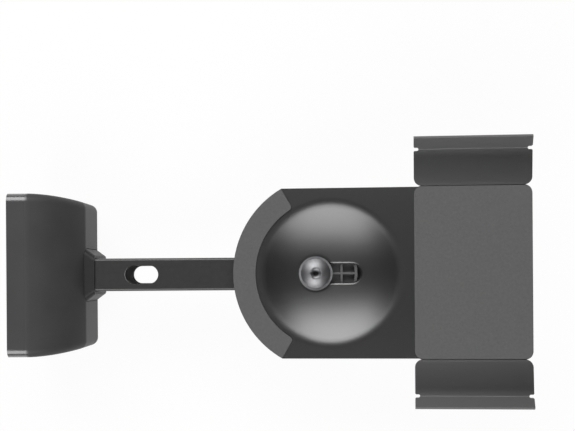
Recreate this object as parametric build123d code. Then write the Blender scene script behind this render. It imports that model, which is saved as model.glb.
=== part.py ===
from build123d import *
import math
import os

# Speaker wall bracket, in millimetres. The origin is on the wall, on the arm's axis.
# +X points out of the wall along the arm, +Y across it and +Z up.

# Wall cover
cover_width = 97.0
cover_height = 90.0
cover_depth = 42.0
cover_wall = 2.2
cover_front_width = 88.0
cover_front_height = 40.0
skirt_depth = 10.5
skirt_bend_radius = 12.0
skirt_bend_angle = 16.0
cover_edge_radius = 5.0

# Wall plate
plate_thickness = 3.0
plate_gap = 0.5
plate_corner_radius = 5.0
screw_spread = 68.0
screw_rise = 58.0
screw_hole_radius = 3.0
cable_window_width = 14.0
cable_window_height = 26.0
cable_window_radius = 4.0
cable_window_from_arm = 26.0

# Snap lugs on the wall plate, and the noses in the cover that click into them
lug_thickness = 2.0
lug_reach = 12.0
lug_width = 18.0
lug_window_width = 11.0
lug_window_depth = 4.0
lug_window_bridge = 3.0
nose_clearance = 0.3

# Arm tube
tube_width = 20.0
tube_height = 40.0
tube_wall = 1.5
tube_corner_radius = 1.5
tube_inner_radius = 0.5
tube_past_bolt = 20.0
weld_leg = 3.0
cable_slot_middle = 75.8
cable_slot_length = 20.5
cable_slot_width = 11.0

# Collar round the arm, where it leaves the cover
collar_side_wall = 6.0
collar_end_wall = 2.0
collar_top_wall = 1.5
collar_corner_radius = 4.0
collar_reach = 5.4
collar_clearance = 0.3
collar_back = 6.5
collar_ear_width = 3.0
collar_ear_thickness = 2.0
collar_ear_height = 26.0
opening_clearance = 0.3

# Plug in the arm's free end
cap_thickness = 2.0
cap_plug_depth = 10.0
cap_plug_wall = 1.8
cap_clearance = 0.15

# Bolt that clamps the holder to the arm
bolt_from_wall = 182.0
bolt_radius = 5.0
bolt_hole_clearance = 0.25
bolt_head_radius = 8.75
bolt_head_height = 4.5
bolt_head_rim = 1.6
bolt_head_flat_radius = 3.7
bolt_dome_bulge = 0.33
socket_flats = 6.0
socket_depth = 2.6
socket_point_radius = 2.9
socket_point_depth = 1.7
bolt_tip_chamfer = 1.0
bolt_past_nut = 3.0

# Lock nut with a nylon ring, and its washer
nut_flats = 17.0
nut_hex_height = 7.0
nut_corner_chamfer = 1.2
nut_collar_radius = 7.6
nut_collar_height = 3.2
nut_insert_radius = 6.6
nut_insert_height = 2.4
nut_bore_clearance = 0.05
nut_washer_radius = 10.0
nut_washer_thickness = 2.0

# Ribbed seat on the arm
seat_radius = 25.0
seat_flange_radius = 30.0
seat_flange_thickness = 2.0
seat_middle_height = 9.0
seat_floor = 7.0
seat_wall = 1.6
seat_hub_radius = 9.0
seat_rib = 1.3
seat_rib_gap = 9.0
seat_cross_rib_gap = 15.6
cheek_thickness = 3.0
cheek_depth = 9.0
cheek_length = 32.0
cheek_clearance = 0.2

# Washer in the dish, under the bolt's head
dish_washer_radius = 10.1
dish_washer_middle = 2.5

# Holder sheet, with the middle of the dish's mouth at x = 0 along the sheet
sheet_thickness = 2.0
holder_width = 101.0
round_end_radius = 58.2
dish_radius = 100.0
dish_mouth_radius = 44.5
dish_lip_radius = 15.0
tilt_limit = 6.9
shown_tilt = 5.5
slot_width = 11.0
slot_edge_radius = 1.4
sliding_gap = 0.25
head_gap = 0.1

# Wide end of the holder, with a wing and a lip folded up on each side
end_from_dish = 49.3
end_length = 68.6
end_width = 102.0
end_corner_radius = 4.6
fold_radius = 3.0
wing_angle = 8.5
wing_width = 21.0
lip_bend_radius = 0.3
lip_angle = 42.0
lip_width = 7.8
bend_slit_depth = 2.8
bend_slit_width = 1.8
bend_slit_mouth_radius = 0.8

# Pads on the holder
pad_thickness = 1.0
pad_edge_gap = 0.3
crescent_angle = 60.0
crescent_gap = 0.1
crescent_corner_radius = 2.0

# Levels and places that follow from these sizes
arm_top = tube_height / 2
tube_end = bolt_from_wall + tube_past_bolt
tube_inner_width = tube_width - 2 * tube_wall
tube_inner_height = tube_height - 2 * tube_wall
bolt_hole_radius = bolt_radius + bolt_hole_clearance
dish_under_level = arm_top + seat_middle_height + sliding_gap
dish_level = dish_under_level + sheet_thickness
dish_centre_level = dish_level + dish_radius
washer_top = dish_level + sliding_gap + dish_washer_middle
head_level = washer_top + head_gap
nut_washer_level = -tube_height / 2 - nut_washer_thickness
nut_height = nut_hex_height + nut_collar_height
mouth_rise = math.sqrt((dish_radius + dish_lip_radius) ** 2 - dish_mouth_radius**2) - dish_lip_radius
slot_length = 2 * dish_radius * math.sin(math.radians(tilt_limit)) + slot_width
bolt_place = Pos(bolt_from_wall, 0, 0)
plate_half_width = cover_width / 2 - cover_wall - plate_gap
plate_half_height = cover_height / 2 - cover_wall - plate_gap
lug_inner_face = plate_half_width - lug_thickness
touch = 0.01  # two things nearer than this are taken to meet


def bar(width, height, radius, start, end):
    """A bar along X with rounded corners, centred on the arm's axis."""
    section = Plane.YZ.offset(start) * RectangleRounded(width, height, radius)
    return extrude(section, end - start)


def ring(outer, inner, bottom, top):
    """A plain ring about Z."""
    height = top - bottom
    body = Cylinder(outer, height) - Cylinder(inner, height)
    return Pos(0, 0, (bottom + top) / 2) * body


def turned(*edges):
    """A solid of revolution about Z from the edges of its half section in X and Z."""
    return revolve(make_face(Curve() + list(edges)), Axis.Z)


def arc_about(centre, start, end):
    """An arc of less than half a turn from start to end about a centre."""
    first = start - centre
    last = end - centre
    middle = centre + (first + last).normalized() * first.length
    return ThreePointArc(start, middle, end)


# The cover is the part that its side view and its plan have in common.
def cover_side_view(back):
    half = cover_height / 2
    angle = math.radians(skirt_bend_angle)
    heading = Vector(math.cos(angle), -math.sin(angle))
    skirt_end = Vector(skirt_depth, half)
    bend_end = skirt_end + Vector(
        skirt_bend_radius * math.sin(angle), -skirt_bend_radius * (1 - math.cos(angle))
    )
    front = Vector(cover_depth, cover_front_height / 2)
    upper = Curve() + [
        Line((back, 0), (back, half)),
        Line((back, half), skirt_end),
        TangentArc(skirt_end, bend_end, tangent=(1, 0)),
        TangentArc(bend_end, front, tangent=heading),
        Line(front, (cover_depth, 0)),
    ]
    return make_face(upper + mirror(upper, Plane.XZ))


def cover_plan(back):
    half = cover_width / 2
    skirt_end = (skirt_depth, half)
    front = (cover_depth, cover_front_width / 2)
    one_side = Curve() + [
        Line((back, 0), (back, half)),
        Line((back, half), skirt_end),
        TangentArc(skirt_end, front, tangent=(1, 0)),
        Line(front, (cover_depth, 0)),
    ]
    return make_face(one_side + mirror(one_side, Plane.XZ))


def cover_block(side_view, plan, edge_radius):
    upright = Plane.XZ * side_view
    block = extrude(upright, cover_width, both=True) & extrude(plan, cover_height, both=True)
    edges_off_the_wall = [edge for edge in block.edges() if edge.bounding_box().max.X > touch]
    return fillet(edges_off_the_wall, edge_radius)


def both_sides(piece):
    """A piece on the +Y side, with its mirror image on the other side."""
    return piece + mirror(piece, Plane.XZ)


def lug_window(low, high, clearance):
    """What fills the window of the lug on the +Y side, between two places across it."""
    depth = lug_window_depth - 2 * clearance
    width = lug_window_width - 2 * clearance
    middle = plate_thickness + lug_reach - lug_window_bridge - lug_window_depth / 2
    return Pos(middle, (low + high) / 2, 0) * Box(depth, high - low, width)


def make_wall_cover():
    outer = cover_block(cover_side_view(0), cover_plan(0), cover_edge_radius)
    inside = cover_block(
        offset(cover_side_view(-cover_depth), -cover_wall),
        offset(cover_plan(-cover_depth), -cover_wall),
        cover_edge_radius - cover_wall,
    )
    opening = bar(
        tube_width + 2 * (collar_side_wall + opening_clearance),
        tube_height + 2 * (collar_top_wall + opening_clearance),
        collar_corner_radius + opening_clearance,
        cover_depth - collar_back,
        cover_depth + collar_reach,
    )
    nose = lug_window(lug_inner_face, cover_width / 2 - cover_wall / 2, nose_clearance)
    return outer - inside - opening + both_sides(nose)


def make_wall_plate():
    plate = bar(2 * plate_half_width, 2 * plate_half_height, plate_corner_radius, 0, plate_thickness)
    lug_place = Pos(plate_thickness + lug_reach / 2, lug_inner_face + lug_thickness / 2, 0)
    lug = lug_place * Box(lug_reach, lug_thickness, lug_width)
    plate += both_sides(lug - lug_window(lug_inner_face, plate_half_width, 0))
    for y in (-screw_spread / 2, screw_spread / 2):
        for z in (-screw_rise / 2, screw_rise / 2):
            drill = Cylinder(screw_hole_radius, 3 * plate_thickness)
            plate -= Pos(0, y, z) * Rot(0, 90, 0) * drill
    window = bar(cable_window_width, cable_window_height, cable_window_radius, 0, plate_thickness)
    return plate - both_sides(Pos(0, cable_window_from_arm, 0) * window)


def make_arm_tube():
    tube = bar(tube_width, tube_height, tube_corner_radius, plate_thickness, tube_end)
    weld_section = RectangleRounded(
        tube_width + 2 * weld_leg, tube_height + 2 * weld_leg, tube_corner_radius + weld_leg
    )
    tube += extrude(Plane.YZ.offset(plate_thickness) * weld_section, weld_leg, taper=45)
    tube -= bar(tube_inner_width, tube_inner_height, tube_inner_radius, plate_thickness, tube_end)
    cable_slot = SlotOverall(cable_slot_length, cable_slot_width)
    tube -= Pos(cable_slot_middle, 0, 0) * extrude(cable_slot, tube_height, both=True)
    return tube - bolt_place * Cylinder(bolt_hole_radius, 2 * tube_height)


def make_arm_collar():
    start = cover_depth - collar_back
    end = cover_depth + collar_reach
    width = tube_width + 2 * collar_side_wall
    end_width = tube_width + 2 * collar_end_wall
    height = tube_height + 2 * collar_top_wall
    body = bar(width, height, collar_corner_radius, start, cover_depth)
    wide_end = RectangleRounded(width, height, collar_corner_radius)
    slim_end = RectangleRounded(end_width, height, collar_corner_radius)
    body += loft([Plane.YZ.offset(cover_depth) * wide_end, Plane.YZ.offset(end) * slim_end])
    ear_front = cover_depth - cover_wall
    ear_width = width + 2 * collar_ear_width
    ears = Box(collar_ear_thickness, ear_width, collar_ear_height)
    body += Pos(ear_front - collar_ear_thickness / 2, 0, 0) * ears
    return body - bar(
        tube_width + 2 * collar_clearance,
        tube_height + 2 * collar_clearance,
        tube_corner_radius + collar_clearance,
        start,
        end,
    )


def make_arm_end_cap():
    cap = bar(tube_width, tube_height, tube_corner_radius, tube_end, tube_end + cap_thickness)
    plug_width = tube_inner_width - 2 * cap_clearance
    plug_height = tube_inner_height - 2 * cap_clearance
    plug_start = tube_end - cap_plug_depth
    cap += bar(plug_width, plug_height, tube_inner_radius, plug_start, tube_end)
    hollow = bar(
        plug_width - 2 * cap_plug_wall,
        plug_height - 2 * cap_plug_wall,
        tube_inner_radius / 2,
        plug_start,
        tube_end,
    )
    return cap - hollow


def make_crush_sleeve():
    sleeve_radius = tube_inner_width / 2 - tube_inner_radius
    half = tube_inner_height / 2
    return bolt_place * ring(sleeve_radius, bolt_hole_radius, -half, half)


def make_dish_seat():
    rim_level = arm_top + seat_middle_height + seat_radius
    seat = ring(seat_radius, bolt_hole_radius, arm_top, rim_level)
    pockets = ring(seat_radius - seat_wall, seat_hub_radius, arm_top + seat_floor, rim_level)
    rib = Box(2 * seat_radius, seat_rib, 2 * rim_level)
    cross_rib = Box(seat_rib, 2 * seat_radius, 2 * rim_level)
    for step in (-2, -1, 0, 1, 2):
        pockets -= Pos(0, step * seat_rib_gap, 0) * rib
    for step in (-1, 0, 1):
        pockets -= Pos(step * seat_cross_rib_gap, 0, 0) * cross_rib
    seat -= pockets
    seat -= Pos(0, 0, dish_centre_level) * Sphere(dish_radius + sheet_thickness + sliding_gap)
    seat += ring(seat_flange_radius, bolt_hole_radius, arm_top, arm_top + seat_flange_thickness)
    cheek_middle = tube_width / 2 + cheek_clearance + cheek_thickness / 2
    cheek = Box(cheek_length, cheek_thickness, cheek_depth)
    seat += both_sides(Pos(0, cheek_middle, arm_top - cheek_depth / 2) * cheek)
    return bolt_place * seat


def make_pivot_bolt():
    tip_level = nut_washer_level - nut_height - bolt_past_nut
    head_top = head_level + bolt_head_height
    rim = Vector(bolt_head_radius, 0, head_level + bolt_head_rim)
    flat = Vector(bolt_head_flat_radius, 0, head_top)
    outward = Vector(0, 1, 0).cross(flat - rim).normalized()
    bolt = turned(
        Line((0, 0, tip_level), (bolt_radius - bolt_tip_chamfer, 0, tip_level)),
        Line(
            (bolt_radius - bolt_tip_chamfer, 0, tip_level),
            (bolt_radius, 0, tip_level + bolt_tip_chamfer),
        ),
        Line((bolt_radius, 0, tip_level + bolt_tip_chamfer), (bolt_radius, 0, head_level)),
        Line((bolt_radius, 0, head_level), (bolt_head_radius, 0, head_level)),
        Line((bolt_head_radius, 0, head_level), rim),
        ThreePointArc(rim, (rim + flat) / 2 + outward * bolt_dome_bulge, flat),
        Line(flat, (0, 0, head_top)),
        Line((0, 0, head_top), (0, 0, tip_level)),
    )
    hexagon = RegularPolygon(socket_flats / 2, 6, major_radius=False)
    socket_floor = head_top - socket_depth
    bolt -= Pos(0, 0, socket_floor) * extrude(hexagon, socket_depth)
    drill_point = Cone(0, socket_point_radius, socket_point_depth)
    bolt -= Pos(0, 0, socket_floor - socket_point_depth / 2) * drill_point
    return bolt_place * bolt


def make_nut_washer():
    return bolt_place * ring(
        nut_washer_radius, bolt_hole_radius, nut_washer_level, -tube_height / 2
    )


def make_lock_nut():
    bore = bolt_radius + nut_bore_clearance
    bottom = nut_washer_level - nut_height
    hexagon = RegularPolygon(nut_flats / 2, 6, major_radius=False)
    nut = extrude(Pos(0, 0, nut_washer_level) * hexagon, -nut_hex_height)
    drum = Cylinder(nut_flats / math.sqrt(3) + nut_corner_chamfer / 2, nut_hex_height)
    drum = chamfer(drum.edges().filter_by(GeomType.CIRCLE), nut_corner_chamfer)
    nut &= Pos(0, 0, nut_washer_level - nut_hex_height / 2) * drum
    nut += ring(nut_collar_radius, bore, bottom, nut_washer_level - nut_hex_height)
    nut -= Pos(0, 0, bottom + nut_insert_height / 2) * Cylinder(nut_insert_radius, nut_insert_height)
    nut -= Pos(0, 0, nut_washer_level) * Cylinder(bore, 2 * nut_height)
    return bolt_place * nut


def make_nut_insert():
    bottom = nut_washer_level - nut_height
    bore = bolt_radius + nut_bore_clearance
    return bolt_place * ring(nut_insert_radius, bore, bottom, bottom + nut_insert_height)


def make_dish_washer():
    washer = ring(dish_washer_radius, bolt_hole_radius, dish_level, washer_top)
    dome = Pos(0, 0, dish_centre_level) * Sphere(dish_radius - sliding_gap)
    return bolt_place * (washer & dome)


# The holder is drawn level, with z = 0 on top of the sheet, and then tilted about the dish's centre.
def holder_place(piece):
    tilt = Pos(bolt_from_wall, 0, dish_centre_level) * Rot(0, -shown_tilt, 0)
    return tilt * Pos(0, 0, -mouth_rise) * piece


def end_outline(width):
    middle = end_from_dish + end_length / 2
    return Pos(middle, 0) * RectangleRounded(end_length, width, end_corner_radius)


fold_start = end_width / 2 - fold_radius * math.tan(math.radians(wing_angle / 2))
wing_rise = math.radians(wing_angle)
wing_heading = Vector(math.cos(wing_rise), math.sin(wing_rise))
wing_upward = Vector(-math.sin(wing_rise), math.cos(wing_rise))
wing_start = Vector(
    fold_start + fold_radius * math.sin(wing_rise), fold_radius * (1 - math.cos(wing_rise))
)
wing_end = wing_start + wing_heading * wing_width
lip_rise = math.radians(lip_angle)
lip_heading = Vector(math.cos(lip_rise), math.sin(lip_rise))
lip_upward = Vector(-math.sin(lip_rise), math.cos(lip_rise))
lip_bend_centre = wing_end + wing_upward * lip_bend_radius
lip_start = lip_bend_centre - lip_upward * lip_bend_radius
lip_end = lip_start + lip_heading * lip_width


def wing_section():
    """Section of one folded wing and its lip, across Y and Z."""
    fold_centre = Vector(fold_start, fold_radius)
    down = Vector(0, -sheet_thickness)
    wing_down = wing_upward * -sheet_thickness
    lip_down = lip_upward * -sheet_thickness
    flat_end = Vector(fold_start, 0)
    top = [
        arc_about(fold_centre, flat_end, wing_start),
        Line(wing_start, wing_end),
        arc_about(lip_bend_centre, wing_end, lip_start),
        Line(lip_start, lip_end),
    ]
    bottom = [
        arc_about(fold_centre, flat_end + down, wing_start + wing_down),
        Line(wing_start + wing_down, wing_end + wing_down),
        arc_about(lip_bend_centre, wing_end + wing_down, lip_start + lip_down),
        Line(lip_start + lip_down, lip_end + lip_down),
    ]
    ends = [Line(flat_end, flat_end + down), Line(lip_end, lip_end + lip_down)]
    return make_face(Curve() + top + bottom + ends)


def wing_outline():
    """Plan of one wing and its lip, on the +Y side, with a slit at each end of the lip's bend."""
    fold_line = end_width / 2
    slit_line = (wing_end.X + lip_start.X) / 2
    depth = lip_end.X + sheet_thickness - fold_line
    middle = end_from_dish + end_length / 2
    wing = Pos(middle, fold_line + depth / 2) * Rectangle(end_length, depth)
    wing = fillet(wing.vertices().sort_by(Axis.Y)[:2], end_corner_radius)
    for end in (end_from_dish, end_from_dish + end_length):
        wing -= Pos(end, slit_line) * SlotOverall(2 * bend_slit_depth, bend_slit_width)
        mouth = [
            corner
            for corner in wing.vertices()
            if abs(corner.X - end) < touch and abs(corner.Y - slit_line) < bend_slit_width
        ]
        wing = fillet(mouth, bend_slit_mouth_radius)
    return wing


def make_dish():
    centre = Vector(0, 0, mouth_rise)
    lip_centre = Vector(dish_mouth_radius, 0, -dish_lip_radius)
    towards_lip = (lip_centre - centre).normalized()
    down = Vector(0, 0, -1)
    inside_end = centre + towards_lip * dish_radius
    outside_end = centre + towards_lip * (dish_radius + sheet_thickness)
    mouth = Vector(dish_mouth_radius, 0, 0)
    mouth_under = mouth + down * sheet_thickness
    bottom = centre + down * dish_radius
    bottom_under = bottom + down * sheet_thickness
    return turned(
        arc_about(centre, bottom, inside_end),
        arc_about(lip_centre, inside_end, mouth),
        Line(mouth, mouth_under),
        arc_about(lip_centre, mouth_under, outside_end),
        arc_about(centre, outside_end, bottom_under),
        Line(bottom_under, bottom),
    )


def make_holder_plate():
    end_line = end_from_dish + end_length
    round_end = Circle(round_end_radius) & Rectangle(2 * round_end_radius, holder_width)
    middle = Pos(end_from_dish / 2, 0) * Rectangle(end_from_dish, holder_width)
    neck = Pos(end_from_dish + end_corner_radius / 2, 0) * Rectangle(end_corner_radius, holder_width)
    outline = round_end + middle + neck + end_outline(end_width)
    outline += both_sides(wing_outline())
    slab = Pos((end_line - round_end_radius) / 2, 0, -sheet_thickness / 2) * Box(
        end_line + round_end_radius, 2 * fold_start, sheet_thickness
    )
    wing = extrude(Plane.YZ.offset(end_from_dish) * wing_section(), end_length)
    sheet = slab + both_sides(wing)
    sheet &= extrude(outline, 2 * end_length, both=True)
    sheet -= Cylinder(dish_mouth_radius, 3 * sheet_thickness)
    sheet += make_dish()
    sheet -= extrude(SlotOverall(slot_length, slot_width), 2 * dish_radius, both=True)
    slot_floor = mouth_rise - dish_radius
    rim = [
        edge
        for edge in sheet.edges()
        if abs(edge.center().X) < slot_length
        and abs(edge.center().Y) < slot_width
        and edge.bounding_box().size.Z < sheet_thickness
        and edge.bounding_box().min.Z > slot_floor - sheet_thickness / 4
    ]
    return holder_place(fillet(rim, slot_edge_radius))


def make_crescent_pad():
    inner = dish_mouth_radius + crescent_gap
    band = Circle(round_end_radius) - Circle(inner)
    band &= Rectangle(2 * round_end_radius, holder_width)
    reach = 2 * round_end_radius
    half = math.radians(crescent_angle)
    tip = Vector(-reach * math.cos(half), reach * math.sin(half))
    wedge = make_face(Polyline((0, 0), tip, (-2 * reach, 0), (tip.X, -tip.Y), (0, 0)))
    pad = band & wedge
    inner_corners = pad.vertices().sort_by_distance((0, 0))[:2]
    pad = fillet(inner_corners, crescent_corner_radius)
    return holder_place(extrude(pad, pad_thickness))


def make_end_pad():
    return holder_place(extrude(end_outline(end_width - 2 * pad_edge_gap), pad_thickness))


pieces = {
    "wall_plate": make_wall_plate(),
    "wall_cover": make_wall_cover(),
    "arm_collar": make_arm_collar(),
    "arm_tube": make_arm_tube(),
    "arm_end_cap": make_arm_end_cap(),
    "crush_sleeve": make_crush_sleeve(),
    "dish_seat": make_dish_seat(),
    "pivot_bolt": make_pivot_bolt(),
    "nut_washer": make_nut_washer(),
    "lock_nut": make_lock_nut(),
    "nut_insert": make_nut_insert(),
    "dish_washer": make_dish_washer(),
    "holder_plate": make_holder_plate(),
    "crescent_pad": make_crescent_pad(),
    "end_pad": make_end_pad(),
}

os.makedirs("parts", exist_ok=True)
for name, piece in pieces.items():
    export_step(piece, f"parts/{name}.step")
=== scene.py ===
import math

import bmesh
import bpy
from mathutils import Matrix, Vector, noise


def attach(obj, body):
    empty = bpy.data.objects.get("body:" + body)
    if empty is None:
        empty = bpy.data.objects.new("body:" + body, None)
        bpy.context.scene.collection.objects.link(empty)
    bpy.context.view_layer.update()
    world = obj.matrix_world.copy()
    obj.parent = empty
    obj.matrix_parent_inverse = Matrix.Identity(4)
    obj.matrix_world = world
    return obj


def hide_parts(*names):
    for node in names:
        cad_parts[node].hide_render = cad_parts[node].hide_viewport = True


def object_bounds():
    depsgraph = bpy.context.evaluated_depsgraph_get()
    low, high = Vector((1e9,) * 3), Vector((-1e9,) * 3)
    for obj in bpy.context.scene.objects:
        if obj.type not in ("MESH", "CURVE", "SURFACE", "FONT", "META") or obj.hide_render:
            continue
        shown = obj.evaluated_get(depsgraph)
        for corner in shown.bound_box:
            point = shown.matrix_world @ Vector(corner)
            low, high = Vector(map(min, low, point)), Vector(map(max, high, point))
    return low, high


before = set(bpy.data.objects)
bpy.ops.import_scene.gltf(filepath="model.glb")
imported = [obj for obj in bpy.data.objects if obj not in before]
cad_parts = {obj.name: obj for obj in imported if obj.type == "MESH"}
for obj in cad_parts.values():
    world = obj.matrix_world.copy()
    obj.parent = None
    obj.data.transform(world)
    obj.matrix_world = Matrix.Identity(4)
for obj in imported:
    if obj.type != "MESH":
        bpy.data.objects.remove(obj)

cad_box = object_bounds()


# Wall plate and holder: mild steel sheet, cut, pressed and folded, then powder coated black.
# The coat is satin and quite even, with the faint orange peel that powder leaves.
# Sizes are in metres, and spots are counted to the metre.
sheet_black = 0.0075
sheet_roughness = 0.325
sheet_gloss = 1
powder_lightest = 1.3
powder_unevenness = 0.01
powder_clouds = 300
powder_shine = 500
powder_peel = 1000
powder_peel_depth = 0.000008
spots_low = 0.3
spots_high = 0.7

# Bends in the holder's two wings, too slight to model, by distance from the holder's middle:
# where a bend is level, where it is steepest, how deep it is, and whether it falls.
wing_bow = (0.0720, 0.0506, 0.00051, True)
wing_at_lip = (0.0675, 0.0720, 0.00020, False)
wing_at_fold = (0.0530, 0.0506, 0.00005, True)


def start_finish(name):
    """A material with one Principled shader, and the place on the piece in metres."""
    finish = bpy.data.materials.new(name)
    finish.use_nodes = True
    tree = finish.node_tree
    shader = tree.nodes["Principled BSDF"]
    place = tree.nodes.new("ShaderNodeTexCoord").outputs["Object"]
    return finish, tree, shader, place


def speckle(tree, place, per_metre, detail):
    """Soft random spots, so many to the metre."""
    spots = tree.nodes.new("ShaderNodeTexNoise")
    spots.inputs["Scale"].default_value = per_metre
    spots.inputs["Detail"].default_value = detail
    tree.links.new(place, spots.inputs["Vector"])
    return spots.outputs["Fac"]


def tint(tree, shader, spots, dark, light):
    """Colours a shader from dark to light by its spots."""
    ramp = tree.nodes.new("ShaderNodeValToRGB")
    ramp.color_ramp.elements[0].position = spots_low
    ramp.color_ramp.elements[1].position = spots_high
    ramp.color_ramp.elements[0].color = (*dark, 1)
    ramp.color_ramp.elements[1].color = (*light, 1)
    tree.links.new(spots, ramp.inputs["Fac"])
    tree.links.new(ramp.outputs["Color"], shader.inputs["Base Color"])


def polish(tree, shader, spots, smooth, rough):
    """Varies a shader's roughness by its spots."""
    spread = tree.nodes.new("ShaderNodeMapRange")
    spread.inputs["From Min"].default_value = spots_low
    spread.inputs["From Max"].default_value = spots_high
    spread.inputs["To Min"].default_value = smooth
    spread.inputs["To Max"].default_value = rough
    tree.links.new(spots, spread.inputs["Value"])
    tree.links.new(spread.outputs["Result"], shader.inputs["Roughness"])


def relief(tree, upper, height, depth):
    """Raises the surface under a shader, or under another relief, by a share of a depth."""
    bump = tree.nodes.new("ShaderNodeBump")
    bump.inputs["Strength"].default_value = 1
    bump.inputs["Distance"].default_value = depth
    tree.links.new(height, bump.inputs["Height"])
    tree.links.new(bump.outputs["Normal"], upper.inputs["Normal"])
    return bump


def lay_powder(tree, shader, place, black, roughness, gloss):
    """A coat of powder from black to slightly less so, with a clear skin as glossy as asked."""
    shader.inputs["Specular IOR Level"].default_value = gloss
    shader.inputs["Coat Weight"].default_value = gloss
    shader.inputs["Coat Roughness"].default_value = roughness
    clouds = speckle(tree, place, powder_clouds, detail=3)
    tint(tree, shader, clouds, (black,) * 3, (black * powder_lightest,) * 3)
    shine = speckle(tree, place, powder_shine, detail=2)
    polish(tree, shader, shine, roughness - powder_unevenness, roughness + powder_unevenness)
    return relief(tree, shader, speckle(tree, place, powder_peel, detail=2), powder_peel_depth)


def measure_off_middle(tree, place, axis):
    """Distance from the bracket's middle along one axis, to either side."""
    parts = tree.nodes.new("ShaderNodeSeparateXYZ")
    tree.links.new(place, parts.inputs["Vector"])
    distance = tree.nodes.new("ShaderNodeMath")
    distance.operation = "ABSOLUTE"
    tree.links.new(parts.outputs[axis], distance.inputs[0])
    return distance.outputs["Value"]


def bend_under(tree, upper, off_middle, level_at, steep_at, depth, falls):
    """A slight bend of the sheet, under another relief. Its height grows as a square does."""
    share = tree.nodes.new("ShaderNodeMapRange")
    share.inputs["From Min"].default_value = level_at
    share.inputs["From Max"].default_value = steep_at
    tree.links.new(off_middle, share.inputs["Value"])
    square = tree.nodes.new("ShaderNodeMath")
    square.operation = "POWER"
    square.inputs[1].default_value = 2
    tree.links.new(share.outputs["Result"], square.inputs[0])
    bend = relief(tree, upper, square.outputs["Value"], depth)
    bend.invert = falls
    return bend


def powder_coat():
    finish, tree, shader, place = start_finish("powder_coat")
    upper = lay_powder(tree, shader, place, sheet_black, sheet_roughness, sheet_gloss)
    off_middle = measure_off_middle(tree, place, "Y")
    for bend in (wing_bow, wing_at_lip, wing_at_fold):
        upper = bend_under(tree, upper, off_middle, *bend)
    return finish


def dress(finish, *names):
    """Gives CAD pieces a finish."""
    for name in names:
        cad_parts[name].material_slots[0].material = finish


dress(powder_coat(), "wall_plate", "holder_plate")


# Arm: rectangular steel tube, welded to the wall plate and powder coated with it.
# The powder does not reach inside the tube, where the steel is bare and dull.
tube_black = 0.020
tube_roughness = 0.36
tube_gloss = 0.5
bare_half_width = 0.0088
bare_half_height = 0.0188
bare_edge = 0.01
bare_dark = (0.44, 0.44, 0.44)
bare_light = (0.54, 0.54, 0.54)
bare_clouds = 200


def measure_from_axis(tree, place):
    """Distance from the arm's axis, as a share of the bare inside's half width or height."""
    farther = tree.nodes.new("ShaderNodeMath")
    farther.operation = "MAXIMUM"
    for slot, (axis, half) in enumerate((("Y", bare_half_width), ("Z", bare_half_height))):
        share = tree.nodes.new("ShaderNodeMath")
        share.operation = "DIVIDE"
        share.inputs[1].default_value = half
        tree.links.new(measure_off_middle(tree, place, axis), share.inputs[0])
        tree.links.new(share.outputs["Value"], farther.inputs[slot])
    return farther.outputs["Value"]


def pass_over(tree, shader, distance, start, end, before, beyond):
    """Colours a shader by one colour before a distance and by another beyond it."""
    share = tree.nodes.new("ShaderNodeMapRange")
    share.inputs["From Min"].default_value = start
    share.inputs["From Max"].default_value = end
    tree.links.new(distance, share.inputs["Value"])
    # A mix of colours has them in sockets 6 and 7, and its result in socket 2.
    both = tree.nodes.new("ShaderNodeMix")
    both.data_type = "RGBA"
    tree.links.new(share.outputs["Result"], both.inputs["Factor"])
    tree.links.new(before, both.inputs[6])
    tree.links.new(beyond, both.inputs[7])
    tree.links.new(both.outputs[2], shader.inputs["Base Color"])


def tube_coat():
    finish, tree, shader, place = start_finish("tube_coat")
    lay_powder(tree, shader, place, tube_black, tube_roughness, tube_gloss)
    coat = shader.inputs["Base Color"].links[0].from_socket
    tint(tree, shader, speckle(tree, place, bare_clouds, detail=4), bare_dark, bare_light)
    bare = shader.inputs["Base Color"].links[0].from_socket
    distance = measure_from_axis(tree, place)
    pass_over(tree, shader, distance, 1 - bare_edge, 1 + bare_edge, bare, coat)
    return finish


dress(tube_coat(), "arm_tube")


# Wall cover: injection moulded plastic, snapped onto the wall plate.
# Its skirt was left smooth off the tool; the face beyond it has a fine spark-eroded grain.
skirt_end = 0.0105
face_start = 0.0125
half_range = 0.5
cover_greys = ((0.15, 0.040), (0.35, 0.046), (0.65, 0.054), (0.85, 0.060))
cover_gloss = 0.3
face_roughness = 0.53
skirt_roughness = 0.26
skirt_skin_index = 1.8
plastic_clouds = 60
plastic_grain = 4500
face_grain_depth = 0.00001


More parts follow.
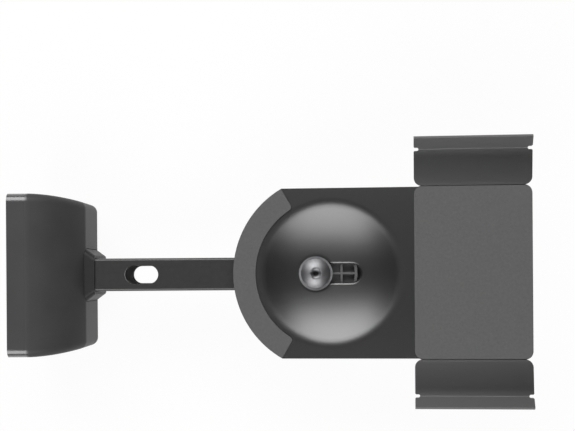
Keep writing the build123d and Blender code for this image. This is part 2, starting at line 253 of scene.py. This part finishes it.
def cover_plastic():
    finish, tree, shader, place = start_finish("cover_plastic")
    parts = tree.nodes.new("ShaderNodeSeparateXYZ")
    tree.links.new(place, parts.inputs["Vector"])
    skirt = tree.nodes.new("ShaderNodeMapRange")
    skirt.inputs["From Min"].default_value = skirt_end
    skirt.inputs["From Max"].default_value = face_start
    skirt.inputs["To Min"].default_value = half_range
    skirt.inputs["To Max"].default_value = 0
    tree.links.new(parts.outputs["X"], skirt.inputs["Value"])

    # The face takes the lower half of the greys and the skirt the upper half.
    shade = tree.nodes.new("ShaderNodeMath")
    shade.operation = "MULTIPLY_ADD"
    shade.inputs[1].default_value = half_range
    tree.links.new(speckle(tree, place, plastic_clouds, detail=4), shade.inputs[0])
    tree.links.new(skirt.outputs["Result"], shade.inputs[2])
    colour = tree.nodes.new("ShaderNodeValToRGB")
    stops = colour.color_ramp.elements
    for position, grey in cover_greys:
        stops.new(position).color = (grey, grey, grey, 1)
    stops.remove(stops[0])
    stops.remove(stops[-1])
    tree.links.new(shade.outputs["Value"], colour.inputs["Fac"])
    tree.links.new(colour.outputs["Color"], shader.inputs["Base Color"])

    shader.inputs["Specular IOR Level"].default_value = cover_gloss
    shader.inputs["Coat Roughness"].default_value = skirt_roughness
    shader.inputs["Coat IOR"].default_value = skirt_skin_index
    roughness = ("Roughness", face_roughness, skirt_roughness)
    skin = ("Coat Weight", 0, 1)
    for socket, on_face, on_skirt in (roughness, skin):
        change = tree.nodes.new("ShaderNodeMapRange")
        change.inputs["From Max"].default_value = half_range
        change.inputs["To Min"].default_value = on_face
        change.inputs["To Max"].default_value = on_skirt
        tree.links.new(skirt.outputs["Result"], change.inputs["Value"])
        tree.links.new(change.outputs["Result"], shader.inputs[socket])
    relief(tree, shader, speckle(tree, place, plastic_grain, detail=1), face_grain_depth)
    return finish


dress(cover_plastic(), "wall_cover")


# Collar round the arm, plug in its end and ribbed seat under the dish: moulded plastic.
# The collar and the plug are black and grained, the seat is plain grey nylon.
# The collar clips into the cover, the plug is pushed into the tube and the seat sits astride it.
collar_dark = (0.016, 0.016, 0.016)
collar_light = (0.020, 0.020, 0.020)
collar_grain_depth = 0.00002
seat_dark = (0.085, 0.085, 0.085)
seat_light = (0.100, 0.100, 0.100)
seat_grain_depth = 0.00001
moulded_gloss = 0.3
moulded_shine = 300
moulded_smooth = 0.46
moulded_rough = 0.54


def moulded_plastic(name, dark, light, grain_depth):
    finish, tree, shader, place = start_finish(name)
    tint(tree, shader, speckle(tree, place, plastic_clouds, detail=4), dark, light)
    shader.inputs["Specular IOR Level"].default_value = moulded_gloss
    polish(tree, shader, speckle(tree, place, moulded_shine, detail=2), moulded_smooth, moulded_rough)
    relief(tree, shader, speckle(tree, place, plastic_grain, detail=1), grain_depth)
    return finish


collar_plastic = moulded_plastic("collar_plastic", collar_dark, collar_light, collar_grain_depth)
dress(collar_plastic, "arm_collar", "arm_end_cap")
seat_plastic = moulded_plastic("seat_plastic", seat_dark, seat_light, seat_grain_depth)
dress(seat_plastic, "dish_seat")


# Bolt, lock nut, washers and sleeve: steel with dull zinc plate.
# They were turned, so fine rings run round the bolt's axis.
# The bolt's socket was pressed in, and its foot is painted dark: painted shade where the socket is
# deep.
bolt_from_wall = 0.182
zinc_dark = (0.26, 0.26, 0.27)
zinc_light = (0.31, 0.31, 0.32)
zinc_smooth = 0.46
zinc_rough = 0.54
zinc_clouds = 250
zinc_shine = 600
turning_rings = 900
turning_waver = 0.6
turning_depth = 0.000003
socket_foot_level = 0.0355
# Painted shade at the socket's foot: how far out it is full and where it ends, and its dark colours.
socket_shade_heart = 0.0012
socket_shade_edge = 0.0024
socket_shade_dark = (0.02, 0.02, 0.02)
socket_shade_light = (0.03, 0.03, 0.03)


def zinc_plate():
    finish, tree, shader, place = start_finish("zinc_plate")
    shader.inputs["Metallic"].default_value = 1
    clouds = speckle(tree, place, zinc_clouds, detail=4)
    tint(tree, shader, clouds, zinc_dark, zinc_light)
    zinc = shader.inputs["Base Color"].links[0].from_socket
    # Painted shade: the socket's foot is coloured dark, standing in for the shade inside the socket.
    tint(tree, shader, clouds, socket_shade_dark, socket_shade_light)
    socket_shade = shader.inputs["Base Color"].links[0].from_socket
    from_foot = tree.nodes.new("ShaderNodeVectorMath")
    from_foot.operation = "DISTANCE"
    from_foot.inputs[1].default_value = (bolt_from_wall, 0, socket_foot_level)
    tree.links.new(place, from_foot.inputs[0])
    distance = from_foot.outputs["Value"]
    pass_over(tree, shader, distance, socket_shade_heart, socket_shade_edge, socket_shade, zinc)
    polish(tree, shader, speckle(tree, place, zinc_shine, detail=3), zinc_smooth, zinc_rough)
    about_bolt = tree.nodes.new("ShaderNodeMapping")
    about_bolt.inputs["Location"].default_value = (-bolt_from_wall, 0, 0)
    tree.links.new(place, about_bolt.inputs["Vector"])
    rings = tree.nodes.new("ShaderNodeTexWave")
    rings.wave_type = "RINGS"
    rings.rings_direction = "Z"
    rings.inputs["Scale"].default_value = turning_rings
    rings.inputs["Distortion"].default_value = turning_waver
    tree.links.new(about_bolt.outputs["Vector"], rings.inputs["Vector"])
    relief(tree, shader, rings.outputs["Fac"], turning_depth)
    return finish


dress(zinc_plate(), "pivot_bolt", "crush_sleeve", "nut_washer", "lock_nut", "dish_washer")


# Ring in the lock nut: blue nylon, pressed in when the nut was made.
# It grips the bolt's thread, so that the nut can't shake loose.
nylon_dark = (0.05, 0.11, 0.33)
nylon_light = (0.07, 0.15, 0.42)
nylon_clouds = 500
nylon_shine = 900
nylon_smooth = 0.35
nylon_rough = 0.45


def nut_nylon():
    finish, tree, shader, place = start_finish("nut_nylon")
    tint(tree, shader, speckle(tree, place, nylon_clouds, detail=3), nylon_dark, nylon_light)
    polish(tree, shader, speckle(tree, place, nylon_shine, detail=2), nylon_smooth, nylon_rough)
    return finish


dress(nut_nylon(), "nut_insert")


# Pads on the holder: closed-cell foam rubber, cut from sheet with a die and glued on.
# The knife rounds the upper edge a little, and the skin shows fine cells.
foam_dark = (0.096, 0.096, 0.096)
foam_light = (0.108, 0.108, 0.108)
foam_gloss = 0.3
foam_smooth = 0.78
foam_rough = 0.9
foam_clouds = 700
foam_shine = 500
foam_cells = 2200
foam_cell_depth = 0.00006
pad_thickness = 0.001
pad_unevenness = 0.00004
pad_waves = 90
pad_edge_round = 0.0004
pad_edge_steps = 4
pad_corner_steps = 10
pad_cell = 0.004
dish_centre_level = 0.13125
dish_mouth_rise = 0.0910413
holder_tilt = math.radians(5.5)
holder_place = (
    Matrix.Translation((bolt_from_wall, 0, dish_centre_level))
    @ Matrix.Rotation(-holder_tilt, 4, "Y")
    @ Matrix.Translation((0, 0, -dish_mouth_rise))
)


def foam_rubber():
    finish, tree, shader, place = start_finish("foam_rubber")
    shader.inputs["Specular IOR Level"].default_value = foam_gloss
    cells = tree.nodes.new("ShaderNodeTexVoronoi")
    cells.inputs["Scale"].default_value = foam_cells
    tree.links.new(place, cells.inputs["Vector"])
    tint(tree, shader, speckle(tree, place, foam_clouds, detail=4), foam_dark, foam_light)
    polish(tree, shader, speckle(tree, place, foam_shine, detail=2), foam_smooth, foam_rough)
    relief(tree, shader, cells.outputs["Distance"], foam_cell_depth)
    return finish


foam = foam_rubber()


def soften_corners(form, corners, radius):
    """Rounds the corners of a flat outline."""
    bmesh.ops.bevel(
        form,
        geom=corners,
        offset=radius,
        offset_type="OFFSET",
        segments=pad_corner_steps,
        profile=0.5,
        affect="VERTICES",
        material=-1,
    )


def cut_foam(form):
    """Gives a flat outline the thickness, soft upper edge and slight unevenness of a foam pad."""
    side_slope = 0.5
    raised = bmesh.ops.extrude_face_region(form, geom=form.faces[:], use_keep_orig=True)
    upper = [item for item in raised["geom"] if isinstance(item, bmesh.types.BMVert)]
    bmesh.ops.translate(form, vec=(0, 0, pad_thickness - pad_unevenness), verts=upper)
    bmesh.ops.recalc_face_normals(form, faces=form.faces[:])
    sides = {face for face in form.faces if abs(face.normal.z) < side_slope}
    rim = [
        edge
        for edge in form.edges
        if all(vert.co.z > pad_thickness / 2 for vert in edge.verts)
        and not sides.isdisjoint(edge.link_faces)
    ]
    bmesh.ops.bevel(
        form,
        geom=rim,
        offset=pad_edge_round,
        offset_type="OFFSET",
        segments=pad_edge_steps,
        profile=0.5,
        affect="EDGES",
        material=-1,
    )
    for vert in form.verts:
        if vert.co.z > pad_thickness / 2:
            vert.co.z += pad_unevenness * noise.noise(vert.co * pad_waves)


def glue_on(form, place, node):
    """Makes the pad an object on the holder, in its CAD node's stead."""
    bmesh.ops.transform(form, matrix=holder_place @ place, verts=form.verts[:])
    mesh = bpy.data.meshes.new(node + "_foam")
    form.to_mesh(mesh)
    form.free()
    mesh.shade_smooth()
    mesh.materials.append(foam)
    pad = bpy.data.objects.new(node + "_foam", mesh)
    bpy.context.scene.collection.objects.link(pad)
    firm = pad.modifiers.new("firm", "WEIGHTED_NORMAL")
    firm.keep_sharp = True
    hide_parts(node)
    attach(pad, "holder")


# End pad: a rounded oblong that covers the flat between the two wings.
# It is cut into small cells, so that its surface can be slightly uneven.
end_from_dish = 0.0493
end_length = 0.0686
end_width = 0.1014
end_corner = 0.0046
end_pad = bmesh.new()
bmesh.ops.create_grid(end_pad, x_segments=1, y_segments=1, size=0.5)
bmesh.ops.scale(end_pad, vec=(end_length, end_width, 1), verts=end_pad.verts[:])
soften_corners(end_pad, end_pad.verts[:], end_corner)
for axis, size in ((0, end_length), (1, end_width)):
    across = Vector((axis == 0, axis == 1, 0))
    count = round(size / pad_cell)
    for step in range(1, count):
        bmesh.ops.bisect_plane(
            end_pad,
            geom=[*end_pad.verts, *end_pad.edges, *end_pad.faces],
            plane_co=across * size * (step / count - 0.5),
            plane_no=across,
        )
cut_foam(end_pad)
glue_on(end_pad, Matrix.Translation((end_from_dish + end_length / 2, 0, 0)), "end_pad")


# Crescent pad: a band of foam round the dish's mouth, along the holder's round end.
# Its two inner corners are rounded, and its outer edge follows the sheet's.
crescent_inner = 0.0446
crescent_outer = 0.0582
crescent_half_angle = math.radians(60)
crescent_corner = 0.002
crescent_steps = 40
crescent = bmesh.new()
ends = [crescent.verts.new((-radius, 0, 0)) for radius in (crescent_inner, crescent_outer)]
crescent.edges.new(ends)
band_cuts = round((crescent_outer - crescent_inner) / pad_cell)
bmesh.ops.subdivide_edges(crescent, edges=crescent.edges[:], cuts=band_cuts)
bmesh.ops.rotate(
    crescent,
    cent=(0, 0, 0),
    matrix=Matrix.Rotation(-crescent_half_angle, 3, "Z"),
    verts=crescent.verts[:],
)
bmesh.ops.spin(
    crescent,
    geom=[*crescent.verts, *crescent.edges],
    cent=(0, 0, 0),
    axis=(0, 0, 1),
    dvec=(0, 0, 0),
    angle=2 * crescent_half_angle,
    steps=crescent_steps,
    use_merge=False,
)
inner_corners = [
    vert
    for vert in crescent.verts
    if len(vert.link_edges) == 2 and vert.co.length < (crescent_inner + crescent_outer) / 2
]
soften_corners(crescent, inner_corners, crescent_corner)
cut_foam(crescent)
glue_on(crescent, Matrix.Identity(4), "crescent_pad")


# Floor: a plain white table, which the bracket's cover stands on.
# The camera and mirrors see it almost white, and the rest of it is lit as it is.
floor_size = 40
floor_gap = 0.0005
floor_level = cad_box[0].z - floor_gap
floor_grey = 0.9
floor_roughness = 0.9
white_share = 0.94


def white_floor():
    finish, tree, shader = start_finish("white_floor")[:3]
    shader.inputs["Base Color"].default_value = (floor_grey, floor_grey, floor_grey, 1)
    shader.inputs["Roughness"].default_value = floor_roughness
    shader.inputs["Specular IOR Level"].default_value = 0
    glow = tree.nodes.new("ShaderNodeEmission")
    glow.inputs["Strength"].default_value = 1
    rays = tree.nodes.new("ShaderNodeLightPath")
    seen = rays.outputs["Is Camera Ray"]
    for other in ("Is Glossy Ray", "Is Transmission Ray"):
        either = tree.nodes.new("ShaderNodeMath")
        either.operation = "MAXIMUM"
        tree.links.new(seen, either.inputs[0])
        tree.links.new(rays.outputs[other], either.inputs[1])
        seen = either.outputs["Value"]
    share = tree.nodes.new("ShaderNodeMath")
    share.operation = "MULTIPLY"
    share.inputs[1].default_value = white_share
    tree.links.new(seen, share.inputs[0])
    mix = tree.nodes.new("ShaderNodeMixShader")
    tree.links.new(share.outputs["Value"], mix.inputs["Fac"])
    tree.links.new(shader.outputs["BSDF"], mix.inputs[1])
    tree.links.new(glow.outputs["Emission"], mix.inputs[2])
    tree.links.new(mix.outputs["Shader"], tree.nodes["Material Output"].inputs["Surface"])
    return finish


floor_form = bmesh.new()
bmesh.ops.create_grid(floor_form, x_segments=1, y_segments=1, size=floor_size)
bmesh.ops.translate(floor_form, vec=(0, 0, floor_level), verts=floor_form.verts[:])
floor_mesh = bpy.data.meshes.new("floor")
floor_form.to_mesh(floor_mesh)
floor_form.free()
floor_mesh.materials.append(white_floor())
floor = bpy.data.objects.new("floor", floor_mesh)
bpy.context.scene.collection.objects.link(floor)


# Soft boxes: a long lamp with a white cloth on each side of the arm, above it.
# Each has a side of the arm, a power in watts and a place along the arm.
box_length = 1.0
box_width = 0.80
box_distance = 1.0
box_from_overhead = math.radians(45)
aim_level = 0.03
soft_boxes = ((-1, 9.0, 0.03), (1, 10.95, -0.05))

for side, power, along in soft_boxes:
    lamp = bpy.data.lights.new(f"soft_box_{side}", "AREA")
    lamp.shape = "RECTANGLE"
    lamp.size = box_length
    lamp.size_y = box_width
    lamp.energy = power
    soft_box = bpy.data.objects.new(f"soft_box_{side}", lamp)
    bpy.context.scene.collection.objects.link(soft_box)
    towards = Vector((0, side * math.sin(box_from_overhead), math.cos(box_from_overhead)))
    soft_box.location = Vector((along, 0, aim_level)) + towards * box_distance
    soft_box.rotation_euler = (-side * box_from_overhead, 0, 0)


# Room: a dim grey studio, darker overhead, so that level faces stay black.
# The camera sees a white backdrop there, as bright as the floor.
room_grey = 0.0508
room_at_horizon = 0.65
room_overhead = 0.14
backdrop_white = 0.94

world = bpy.data.worlds.new("room")
world.use_nodes = True
bpy.context.scene.world = world
room = world.node_tree
dim = room.nodes["Background"]
dim.inputs["Color"].default_value = (room_grey, room_grey, room_grey, 1)
direction = room.nodes.new("ShaderNodeTexCoord")
parts = room.nodes.new("ShaderNodeSeparateXYZ")
room.links.new(direction.outputs["Generated"], parts.inputs["Vector"])
height = room.nodes.new("ShaderNodeMapRange")
height.inputs["To Min"].default_value = room_at_horizon
height.inputs["To Max"].default_value = room_overhead
room.links.new(parts.outputs["Z"], height.inputs["Value"])
room.links.new(height.outputs["Result"], dim.inputs["Strength"])
backdrop = room.nodes.new("ShaderNodeBackground")
backdrop.inputs["Color"].default_value = (backdrop_white, backdrop_white, backdrop_white, 1)
room_rays = room.nodes.new("ShaderNodeLightPath")
seen_room = room.nodes.new("ShaderNodeMixShader")
room.links.new(room_rays.outputs["Is Camera Ray"], seen_room.inputs["Fac"])
room.links.new(dim.outputs["Background"], seen_room.inputs[1])
room.links.new(backdrop.outputs["Background"], seen_room.inputs[2])
room.links.new(seen_room.outputs["Shader"], room.nodes["World Output"].inputs["Surface"])
bpy.context.scene.view_settings.view_transform = "Standard"


# Camera: straight above the arm and far enough up to see the whole bracket.
# It is turned slightly about its line of sight, and its lens is shifted to frame the bracket.
camera_from_wall = 0.1729
camera_level = 0.705
camera_roll = math.radians(-0.4)
sensor_width = 36
image_width = 575
image_height = 431
focal_pixels = 1123
axis_pixel = (300.5, 273.5)

camera_data = bpy.data.cameras.new("camera")
camera_data.sensor_width = sensor_width
camera_data.lens = focal_pixels / image_width * sensor_width
camera_data.shift_x = (image_width / 2 - axis_pixel[0]) / image_width
camera_data.shift_y = (axis_pixel[1] - image_height / 2) / image_width
camera = bpy.data.objects.new("camera", camera_data)
camera.location = (camera_from_wall, 0, camera_level)
camera.rotation_euler = (0, 0, camera_roll)
bpy.context.scene.collection.objects.link(camera)
bpy.context.scene.camera = camera
